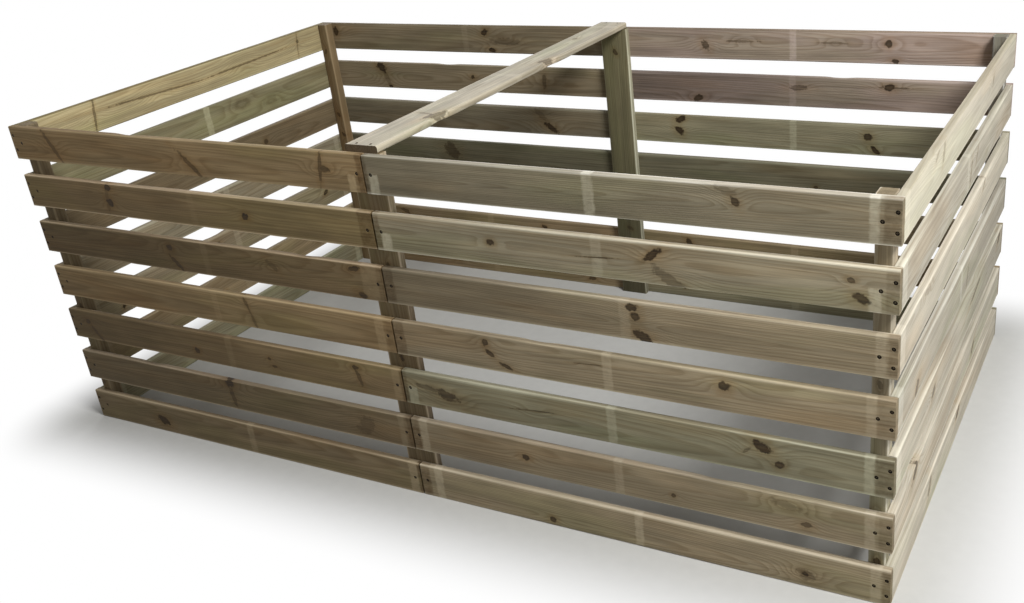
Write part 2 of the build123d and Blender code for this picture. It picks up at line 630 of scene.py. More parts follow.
        # Painted highlight or painted shade on the narrow edges, by their factor
        painted_edge_tint = g.join(painted_edge_light, painted_edge_light ** 1.08, painted_edge_light ** 1.35)
        colour = g.mix(1.0, colour, painted_edge_tint, "MULTIPLY")
        # Darker end grain, partly painted shade where it is strongest
        colour = g.mix(end * gets["End Dark"], colour, self.END_GRAIN, "MULTIPLY")
        bark = g.mix(fibre.ramp(0.35, 0.65), *self.BARK)
        g.fill(result, {
            "Colour": g.mix(stain, colour, bark),
            "Roughness": fibre * 0.22 + 0.64 + late * -0.06 + stain * -0.12,
            "Height": fibre * 0.9 + late * 0.35 + streak * 0.8 + stain * -0.5,
        })
        return g.tree

    def _ring_profile(self, g: Graph, year: Wire) -> Wire:
        """Shape one year's ring: slow darkening to the late wood, then a sudden end.

        Args:
            g: Writer of the group.
            year: Share of the year that has passed.

        Returns:
            How dark the ring is.
        """
        node = g.node("ShaderNodeValToRGB", {0: year})
        elements = node.color_ramp.elements
        elements[0].position, elements[1].position = self.RING[0][0], self.RING[-1][0]
        for place, _ in self.RING[1:-1]:
            elements.new(place)
        for element, (_, level) in zip(elements, self.RING):
            element.color = (level, level, level, 1.0)
        return Wire(g, node.outputs[0]).parts()[0]


@dataclass(frozen=True)
class Marks:
    """Writes the knots and stripes of one timber.

    Attributes:
        graph: Writer of the timber's material.
        figure: The shared node groups.
        place: Place in the timber.
        wobble: Noise for ragged edges.
        middle: Place of the timber's middle along the wall.
    """

    graph: Graph
    figure: PineFigure
    place: Wire
    wobble: Wire
    middle: float

    def _add(self, tree: bpy.types.NodeTree, inputs: dict[str, Any]) -> list[Wire]:
        """Add one mark and give the sums that it passes on."""
        inputs |= {"Place": self.place, "Wobble": self.wobble}
        return self.graph.wires(self.graph.node("ShaderNodeGroup", inputs, node_tree=tree))

    def knots(self, knots: Sequence[Knot]) -> Sequence[Any]:
        """Chain the knots.

        Args:
            knots: The knots.

        Returns:
            Ring lift, stain and halo of all of them.
        """
        sums: Sequence[Any] = (0.0, 0.0, 0.0)
        for knot in knots:
            at, across = knot.middle
            sums = self._add(self.figure.knot, {
                "Centre": (at * MM - self.middle, 0.0, across * MM),
                "Spread": (1 / (max(knot.half_length, 1.0) * MM), 0.0, 2 / (knot.width * MM)),
                "Lean": knot.lean,
                "Reach": min(0.6 * knot.width + 0.15 * knot.half_length, 20.0) * MM,
                "Dark": knot.dark, "Lift": sums[0], "Stain": sums[1], "Halo": sums[2],
            })
        return sums

    def stripes(self, bands: Sequence[Band]) -> Any:
        """Chain the stripes.

        Args:
            bands: The stripes.

        Returns:
            How strongly they show.
        """
        total: Any = 0.0
        for band in bands:
            total = self._add(self.figure.stripe, {
                "At": band.at * MM - self.middle, "Half Width": band.width * MM / 2,
                "Low": band.low * MM, "High": band.high * MM, "Strength": band.strength,
                "Sum": total,
            })[0]
        return total


@dataclass(frozen=True)
class TreatedPine:
    """Finish of sawn, pressure-treated pine.

    Attributes:
        figure: The shared node groups.
        late_share: Colour of the dark rings as a share of the wood between them.
        wood_limit: The palest that either gets.
        bare_share: Colour of covered places and of the rounded edges, which are partly worn and
            partly a painted highlight, as a share too.
        bare_limit: Colour of clean sapwood under plain light, the palest there is.
        ring_gap: Least and greatest width of a year's ring.
        shine: How much it mirrors.
        bump_strength: How clearly the grain stands out.
        bump_depth: Height of the grain.
    """

    figure: PineFigure
    late_share: Triple = (0.62, 0.55, 0.46)
    wood_limit: Triple = (0.9, 0.9, 0.9)
    bare_share: Triple = (1.75, 1.85, 2.0)
    bare_limit: tuple[int, int, int] = (226, 218, 200)
    ring_gap: Point = (0.0038, 0.0062)
    shine: float = 0.15
    bump_strength: float = 0.7
    bump_depth: float = 0.0009

    def material(self, name: str, lay: Lay, centre: Vector, size: Vector, look: BoardLook,
                 dice: random.Random) -> bpy.types.Material:
        """Make one timber's material, with its own place in the log, knots and stripes.

        Args:
            name: Name of the material.
            lay: How the timber lies.
            centre: Its middle.
            size: Its length, thickness and width.
            look: Its colour and marks.
            dice: Source of what varies from board to board.

        Returns:
            The material.
        """
        material = bpy.data.materials.new(name)
        g = blank(material)
        to_own = lay.matrix.transposed()
        frame_place = g.add("ShaderNodeTexCoord", output="Object")
        place = g.add("ShaderNodeMapping", {
            "Vector": frame_place, "Location": -(to_own @ centre), "Rotation": to_own.to_euler(),
        }, vector_type="POINT")
        wobble = g.noise(place, 70.0, 3.0, 0.6) - 0.5
        marks = Marks(g, self.figure, place, wobble, centre.dot(lay.length_axis))
        lift, stain, halo = marks.knots(look.knots)
        # The light factor scales the tone; it is partly the board's own lightness and partly
        # painted shade or light
        early = Vector(linear(*look.tone.value)[:3]) * look.light
        side = dice.choice((-1, 1))
        wood = g.node("ShaderNodeGroup", {
            "Place": place, "Grain": lay.length_axis, "Half": size / 2,
            "Pith": (dice.uniform(0.006, 0.035) * side, side * dice.uniform(0.02, 0.07),
                     dice.uniform(-0.05, 0.05)),
            "Seed": dice.uniform(0.0, 40.0), "Ring Gap": dice.uniform(*self.ring_gap),
            "Lift": lift, "Stain": stain, "Halo": halo, "Pale": marks.stripes(look.pale),
            "Shade": marks.stripes(look.shade), "Start Light": look.fade[0],
            "Stop Light": look.fade[1], "End Dark": look.end_dark,
            "Edge Light": look.painted_edge_light, "Rings": look.rings,
            "Early Wood": self._share(early, (1.0, 1.0, 1.0), self.wood_limit),
            "Late Wood": self._share(early, self.late_share, self.wood_limit),
            "Bare Wood": self._share(early, self.bare_share, linear(*self.bare_limit)),
        }, node_tree=self.figure.wood)
        colour, rough, height = g.wires(wood)
        inputs = {"Base Color": colour, "Roughness": rough, "Specular IOR Level": self.shine}
        g.surface(inputs, height, self.bump_strength, self.bump_depth)
        return material

    def _share(self, early: Vector, share: Triple, limit: Sequence[float]) -> Colour:
        """Colour that is a share of the wood between the rings, up to a limit."""
        red, green, blue = (min(limit[i], early[i] * share[i]) for i in range(3))
        return (red, green, blue, 1.0)


@dataclass(frozen=True)
class CoatedSteel:
    """Finish of dark coated screws, rubbed bright in places.

    Attributes:
        coat: Colour of the coating.
        rubbed: Colour where the driver rubbed it off.
        metallic: How metallic it looks, from 0 to 1.
        bump_strength: How clearly its grit stands out.
        bump_depth: Height of the grit.
    """

    coat: tuple[int, int, int] = (22, 15, 8)
    rubbed: tuple[int, int, int] = (58, 45, 28)
    metallic: float = 0.8
    bump_strength: float = 0.4
    bump_depth: float = 0.0002

    def material(self) -> bpy.types.Material:
        """Make the material.

        Returns:
            The material.
        """
        material = bpy.data.materials.new("coated_steel")
        g = blank(material)
        place = g.add("ShaderNodeTexCoord", output="Object")
        worn = g.noise(place, 260.0, 3.0).ramp(0.52, 0.72)
        grit = g.noise(place, 1400.0)
        colour = g.mix(worn, linear(*self.coat), linear(*self.rubbed))
        inputs = {"Base Color": colour, "Roughness": grit * 0.3 + 0.3, "Metallic": self.metallic}
        g.surface(inputs, grit, self.bump_strength, self.bump_depth)
        return material


class TimberTree:
    """Geometry Nodes for one sawn timber: a rounded bar, made uneven, set in place and drilled."""

    ARRIS_STEPS = 4
    HOLE_SIDES = 20
    FLAT_NORMAL = 0.995

    def __init__(self) -> None:
        """Write the tree."""
        self.g, self.gets, result = new_tree(
            "sawn_timber", "GeometryNodeTree",
            {Kind.MESH: "Screw Seats",
             Kind.NUMBER: "Length, Thickness, Width, Arris, Unevenness, Bow, Skew, Seed, Wane 1, "
                          "Wane 2, Wane Length, Wane Depth, Hole Radius, Hole Depth",
             Kind.WHOLE: "Cuts", Kind.VECTOR: "Centre, Turn, Hole Turn", Kind.MATERIAL: "Finish"},
            {Kind.MESH: "Timber"},
        )
        g, gets = self.g, self.gets
        shaped = g.add("GeometryNodeSetPosition",
                       {"Geometry": self._bar(), "Offset": self._offset()})
        shaded = g.add("GeometryNodeSetShadeSmooth",
                       {"Geometry": shaped, "Shade Smooth": self._rounded()})
        placed = g.add("GeometryNodeTransform", {
            "Geometry": shaded, "Translation": gets["Centre"], "Rotation": g.turn(gets["Turn"]),
        })
        real = g.add("GeometryNodeRealizeInstances", {0: g.cut(placed, self._holes())})
        g.fill(result, {0: g.dressed(real, gets["Finish"])})

    def _bar(self) -> Wire:
        """Make a bar along X.

        Returns:
            Its mesh, with the long edges rounded and the ends closed.
        """
        g, gets = self.g, self.gets
        line = g.add("GeometryNodeCurvePrimitiveLine", {
            "Start": g.join(gets["Length"] * -0.5, 0.0, 0.0),
            "End": g.join(gets["Length"] * 0.5, 0.0, 0.0),
        })
        cut = g.add("GeometryNodeResampleCurve", {"Curve": line, "Count": gets["Cuts"]})
        section = g.add("GeometryNodeCurvePrimitiveQuadrilateral",
                        {"Width": gets["Thickness"], "Height": gets["Width"]})
        fillet = {"Curve": section, "Count": self.ARRIS_STEPS, "Radius": gets["Arris"]}
        eased = g.add("GeometryNodeFilletCurve", fillet, mode="POLY")
        return g.add("GeometryNodeCurveToMesh",
                     {"Curve": cut, "Profile Curve": eased, "Fill Caps": True})

    def _offset(self) -> Wire:
        """Move the bar's points for sawing marks, bow, skew and bark edge.

        Returns:
            How far each point moves.
        """
        g, gets = self.g, self.gets
        along, depth, across = g.add("GeometryNodeInputPosition").parts()
        seed, uneven = gets["Seed"], gets["Unevenness"]
        place = g.join(along * 2.6 + seed * 5.3, seed, across.sum("SIGN") * 3.0)
        rough = g.noise(place, detail=3.0, output="Color") - NOISE_MIDDLE
        _, rough_depth, rough_across = rough.parts()
        share = along / gets["Length"]
        rise = (share * share * -4.0 + 1.0) * gets["Bow"] + share * gets["Skew"]
        rise = rise + rough_across * uneven
        rise = rise - self._wane(along, depth, across) * gets["Wane Depth"]
        return g.join(0.0, rough_depth * (uneven * 0.6), rise)

    def _wane(self, along: Wire, depth: Wire, across: Wire) -> Wire:
        """Find where bark edge is missing from the upper edge.

        Args:
            along: Place along the bar.
            depth: Place in its thickness.
            across: Place in its width.

        Returns:
            How much is missing, from 0 to 1.
        """
        gets = self.gets
        first, second = (
            ONE_OVER_E ** abs((along - gets[name]) / gets["Wane Length"]) ** 3.0
            for name in ("Wane 1", "Wane 2")
        )
        half, half_depth = gets["Width"] * 0.5, gets["Thickness"] * 0.5
        edge = across.ramp(gets["Arris"] * -2.5 + half, half - gets["Arris"])
        slant = depth.ramp(half_depth * -1.0, half_depth, 0.3, 1.0, False)
        return first.top(second) * edge * slant

    def _rounded(self) -> Wire:
        """True where a face belongs to a rounded edge."""
        x, y, z = abs(self.g.add("GeometryNodeInputNormal")).parts()
        return x.top(y.top(z)).sum("LESS_THAN", self.FLAT_NORMAL)

    def _holes(self) -> Wire:
        """Make a drill's shape at each screw seat.

        Returns:
            The shapes as one mesh.
        """
        g, gets = self.g, self.gets
        drill = g.add("GeometryNodeMeshCylinder", {
            "Vertices": self.HOLE_SIDES, "Radius": gets["Hole Radius"],
            "Depth": gets["Hole Depth"] * 2.0,
        })
        return g.strewn(gets["Screw Seats"], drill, g.turn(gets["Hole Turn"]))


class ScrewTree:
    """Geometry Nodes for a set of screws: one cross-head screw at each seat, turned at random."""

    HEAD_SIDES = 20
    SHANK_SIDES = 10

    def __init__(self) -> None:
        """Write the tree."""
        self.g, self.gets, result = new_tree(
            "cross_head_screws", "GeometryNodeTree",
            {Kind.MESH: "Screw Seats",
             Kind.NUMBER: "Head Radius, Shank Radius, Length, Head Sink, Recess Span, "
                          "Recess Width, Recess Depth",
             Kind.VECTOR: "Facing", Kind.WHOLE: "Seed", Kind.MATERIAL: "Finish"},
            {Kind.MESH: "Screws"},
        )
        g, gets = self.g, self.gets
        most_spin = {3: math.pi / 2, "Seed": gets["Seed"]}
        spin = g.add("FunctionNodeRandomValue", most_spin, 1, data_type="FLOAT")
        own_turn = g.turn(g.join(0.0, 0.0, spin))
        turn = g.add("FunctionNodeRotateRotation", {0: g.turn(gets["Facing"]), 1: own_turn},
                     rotation_space="LOCAL")
        screws = g.strewn(gets["Screw Seats"], self._screw(), turn)
        g.fill(result, {0: g.dressed(screws, gets["Finish"])})

    def _lifted(self, mesh: Wire, height: Wire) -> Wire:
        """Move a mesh up."""
        inputs = {"Geometry": mesh, "Translation": self.g.join(0.0, 0.0, height)}
        return self.g.add("GeometryNodeTransform", inputs)

    def _cone(self, sides: int, top: Wire, bottom: Any, height: Wire, foot: Wire) -> Wire:
        """Stand a cone, or a cylinder of two equal radii, on its foot."""
        inputs = {"Vertices": sides, "Radius Top": top, "Radius Bottom": bottom, "Depth": height}
        return self._lifted(self.g.add("GeometryNodeMeshCone", inputs), foot)

    def _screw(self) -> Wire:
        """Make one screw, head up, with the board's face at height zero.

        Returns:
            Its mesh.
        """
        g, gets = self.g, self.gets
        shank_radius, sink = gets["Shank Radius"], gets["Head Sink"]
        span, width = gets["Recess Span"], gets["Recess Width"]
        head_height = gets["Head Radius"] - shank_radius
        head_foot = (sink + head_height) * -1.0
        head = self._cone(self.HEAD_SIDES, gets["Head Radius"], shank_radius, head_height,
                          head_foot)
        arms = []
        for long_side, short_side in ((span, width), (width, span)):
            size = g.join(long_side, short_side, gets["Recess Depth"] * 2.0)
            arms.append(self._lifted(g.add("GeometryNodeMeshCube", {0: size}), sink * -1.0))
        tip_height = shank_radius * 2.0
        tip_foot = gets["Length"] * -1.0
        shank_foot = tip_foot + tip_height
        sides, shank_height = self.SHANK_SIDES, head_foot - shank_foot
        shank = self._cone(sides, shank_radius, shank_radius, shank_height, shank_foot)
        tip = self._cone(sides, shank_radius, 0.0, tip_height, tip_foot)
        screw = g.node("GeometryNodeJoinGeometry")
        for part in (g.cut(head, *arms), shank, tip):
            g.fill(screw, {0: part})
        return Wire(g, screw.outputs[0])


def grown(name: str, tree: bpy.types.NodeTree, seats: Sequence[Vector],
          values: dict[str, Any]) -> bpy.types.Object:
    """Run a Geometry Nodes tree on a set of screw seats and keep the result as a plain mesh.

    Args:
        name: Name of the new object.
        tree: The tree.
        seats: Points that the tree works on.
        values: The tree's inputs by name.

    Returns:
        The object, with no modifier left on it.
    """
    points = bpy.data.meshes.new(name + "_seats")
    points.from_pydata([tuple(seat) for seat in seats], [], [])
    piece = bpy.data.objects.new(name, points)
    bpy.context.scene.collection.objects.link(piece)
    modifier = piece.modifiers.new("grow", "NODES")
    modifier.node_group = tree
    for item in tree.interface.items_tree:
        if item.in_out == "INPUT" and item.name in values:
            modifier[item.identifier] = values[item.name]
    evaluated = piece.evaluated_get(bpy.context.evaluated_depsgraph_get())
    mesh = bpy.data.meshes.new_from_object(evaluated)
    mesh.name = name
    piece.modifiers.clear()
    piece.data = mesh
    bpy.data.meshes.remove(points)
    mesh.set_sharp_from_angle(angle=SHARP_ANGLE)
    return piece


def settle(piece: bpy.types.Object, node: str, slot: Slot) -> None:
    """Let a finished piece stand for its solid.

    Args:
        piece: The piece.
        node: Name of the solid.
        slot: Material slot of the record; not used.
    """
    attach(piece, BODY)
    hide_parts(node)
    LOG.info("%s: %d faces", piece.name, len(piece.data.polygons))


@dataclass
class Joinery:
    """What all timbers and screws share: trees, finishes and the screws' sizes.

    Attributes:
        timber: Tree of a timber.
        screws: Tree of a set of screws.
        pine: Finish of the timber.
        steel: Finish of the screws.
        head_radius: Radius of a screw's head.
        shank_radius: Radius of its shank.
        screw_length: Its length.
        head_sink: How far the head lies under the face.
        recess: Span, width and depth of the cross in the head.
        hole_depth: How deep the hole for the head is.
        hole_room: Room round the head.
        cut_step: Distance of a timber's cross sections.
        least_cuts: How many it has at least.
        bow: How far a timber bends at most.
        skew: How far its ends differ in height at most.
        wane_length: Half the length of a bark edge.
    """

    timber: TimberTree
    screws: ScrewTree
    pine: TreatedPine
    steel: bpy.types.Material
    head_radius: float = 0.0045
    shank_radius: float = 0.00225
    screw_length: float = 0.035
    head_sink: float = 0.001
    recess: Triple = (0.005, 0.0011, 0.0016)
    hole_depth: float = 0.0022
    hole_room: float = 0.0002
    cut_step: float = 0.011
    least_cuts: int = 12
    bow: float = 0.0012
    skew: float = 0.0015
    wane_length: float = 0.035

    def saw(self, node: str, lay: Lay, look: BoardLook, slot: Slot, arris: float,
            seats: Sequence[Vector] = (), facing: Facing = Facing.UP, uneven: float = 0.0018,
            wane_depth: float = 0.003, trim: float = 0.0) -> None:
        """Make one timber in place of its solid.

        Args:
            node: Name of the solid.
            lay: How the timber lies.
            look: Its colour and marks.
            slot: Material slot of the record.
            arris: Rounding of its long edges.
            seats: Screw seats in its face.
            facing: Which way that face looks.
            uneven: How far the saw wandered.
            wane_depth: How deep the bark edge bites.
            trim: How much shorter it is than its solid.
        """
        low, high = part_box(node)
        centre, size = (low + high) / 2, lay.size(high - low)
        dice = random.Random(node)
        name = node + "_wood"
        middle, nowhere = centre.dot(lay.length_axis), 10.0
        wane = [place * MM - middle for place in look.wane] + [nowhere, nowhere]
        values = {
            "Length": size.x - trim, "Thickness": size.y, "Width": size.z, "Arris": arris,
            "Cuts": max(self.least_cuts, round(size.x / self.cut_step)),
            "Unevenness": uneven, "Bow": dice.uniform(-self.bow, self.bow),
            "Skew": dice.uniform(-self.skew, self.skew),
            "Seed": dice.uniform(0.0, 50.0), "Wane 1": wane[0], "Wane 2": wane[1],
            "Wane Length": self.wane_length, "Wane Depth": wane_depth, "Centre": centre,
            "Turn": Vector(lay.matrix.to_euler()),
            "Hole Radius": self.head_radius + self.hole_room, "Hole Depth": self.hole_depth,
            "Hole Turn": Vector(facing.value),
            "Finish": self.pine.material(name, lay, centre, size, look, dice),
        }
        settle(grown(name, self.timber.g.tree, seats, values), node, slot)

    def drive(self, node: str, seats: Sequence[Vector], facing: Facing, seed: int) -> None:
        """Drive one set of screws in place of their solids.

        Args:
            node: Name of the solid.
            seats: Where the screws go in.
            facing: Which way their heads look.
            seed: Seed of their turns.
        """
        span, width, depth = self.recess
        values = {
            "Head Radius": self.head_radius, "Shank Radius": self.shank_radius,
            "Length": self.screw_length, "Head Sink": self.head_sink, "Recess Span": span,
            "Recess Width": width, "Recess Depth": depth, "Facing": Vector(facing.value),
            "Seed": seed, "Finish": self.steel,
        }
        settle(grown(node + "_steel", self.screws.g.tree, seats, values), node, Slot.STEEL)


def chance_knots(dice: random.Random, low: float, high: float, count: int) -> tuple[Knot, ...]:
    """Strew knots over a board.

    Args:
        dice: Source of chance.
        low: Start of the board along the wall, in millimetres.
        high: Its end.
        count: How many knots.

    Returns:
        The knots.
    """
    knots = []
    step = (high - low) / count
    for index in range(count):
        at = low + (index + dice.uniform(0.2, 0.8)) * step
        across = dice.uniform(-30, 30)
        width = dice.uniform(9, 18)
        length = width * dice.uniform(1.1, 2.6)
        knots.append(spot(at, across, length, width, dice.uniform(0.6, 1.0), dice.uniform(-70, 70)))
    return tuple(knots)


def look_of(wall: str, row: int, low: float, high: float, sticks: Sequence[float]) -> BoardLook:
    """Colour and marks of one board: noted for those that show, drawn by chance for the others.

    Args:
        wall: Which boards of which wall, as in the table.
        row: Row from the ground.
        low: Start of the board along the wall, in millimetres.
        high: Its end.
        sticks: Where drying sticks lay across it.

    Returns:
        The look.
    """
    if row in LOOKS[wall]:
        return LOOKS[wall][row]
    dice = random.Random(f"{wall} {row}".replace("_", " "))
    tone = dice.choice((Tone.TAUPE, Tone.GREY, Tone.MOSS, Tone.BROWN))
    knots = chance_knots(dice, low, high, dice.choice((2, 3, 4)))
    pale = tuple(Band(stick, 26, dice.uniform(0.1, 0.5)) for stick in sticks)
    wane = (dice.uniform(low, high),) if dice.random() < 0.4 else ()
    return BoardLook(tone, dice.uniform(0.68, 0.82), knots, pale, wane=wane)


# Looks of the boards by row, counted from the ground. The marks are in millimetres.

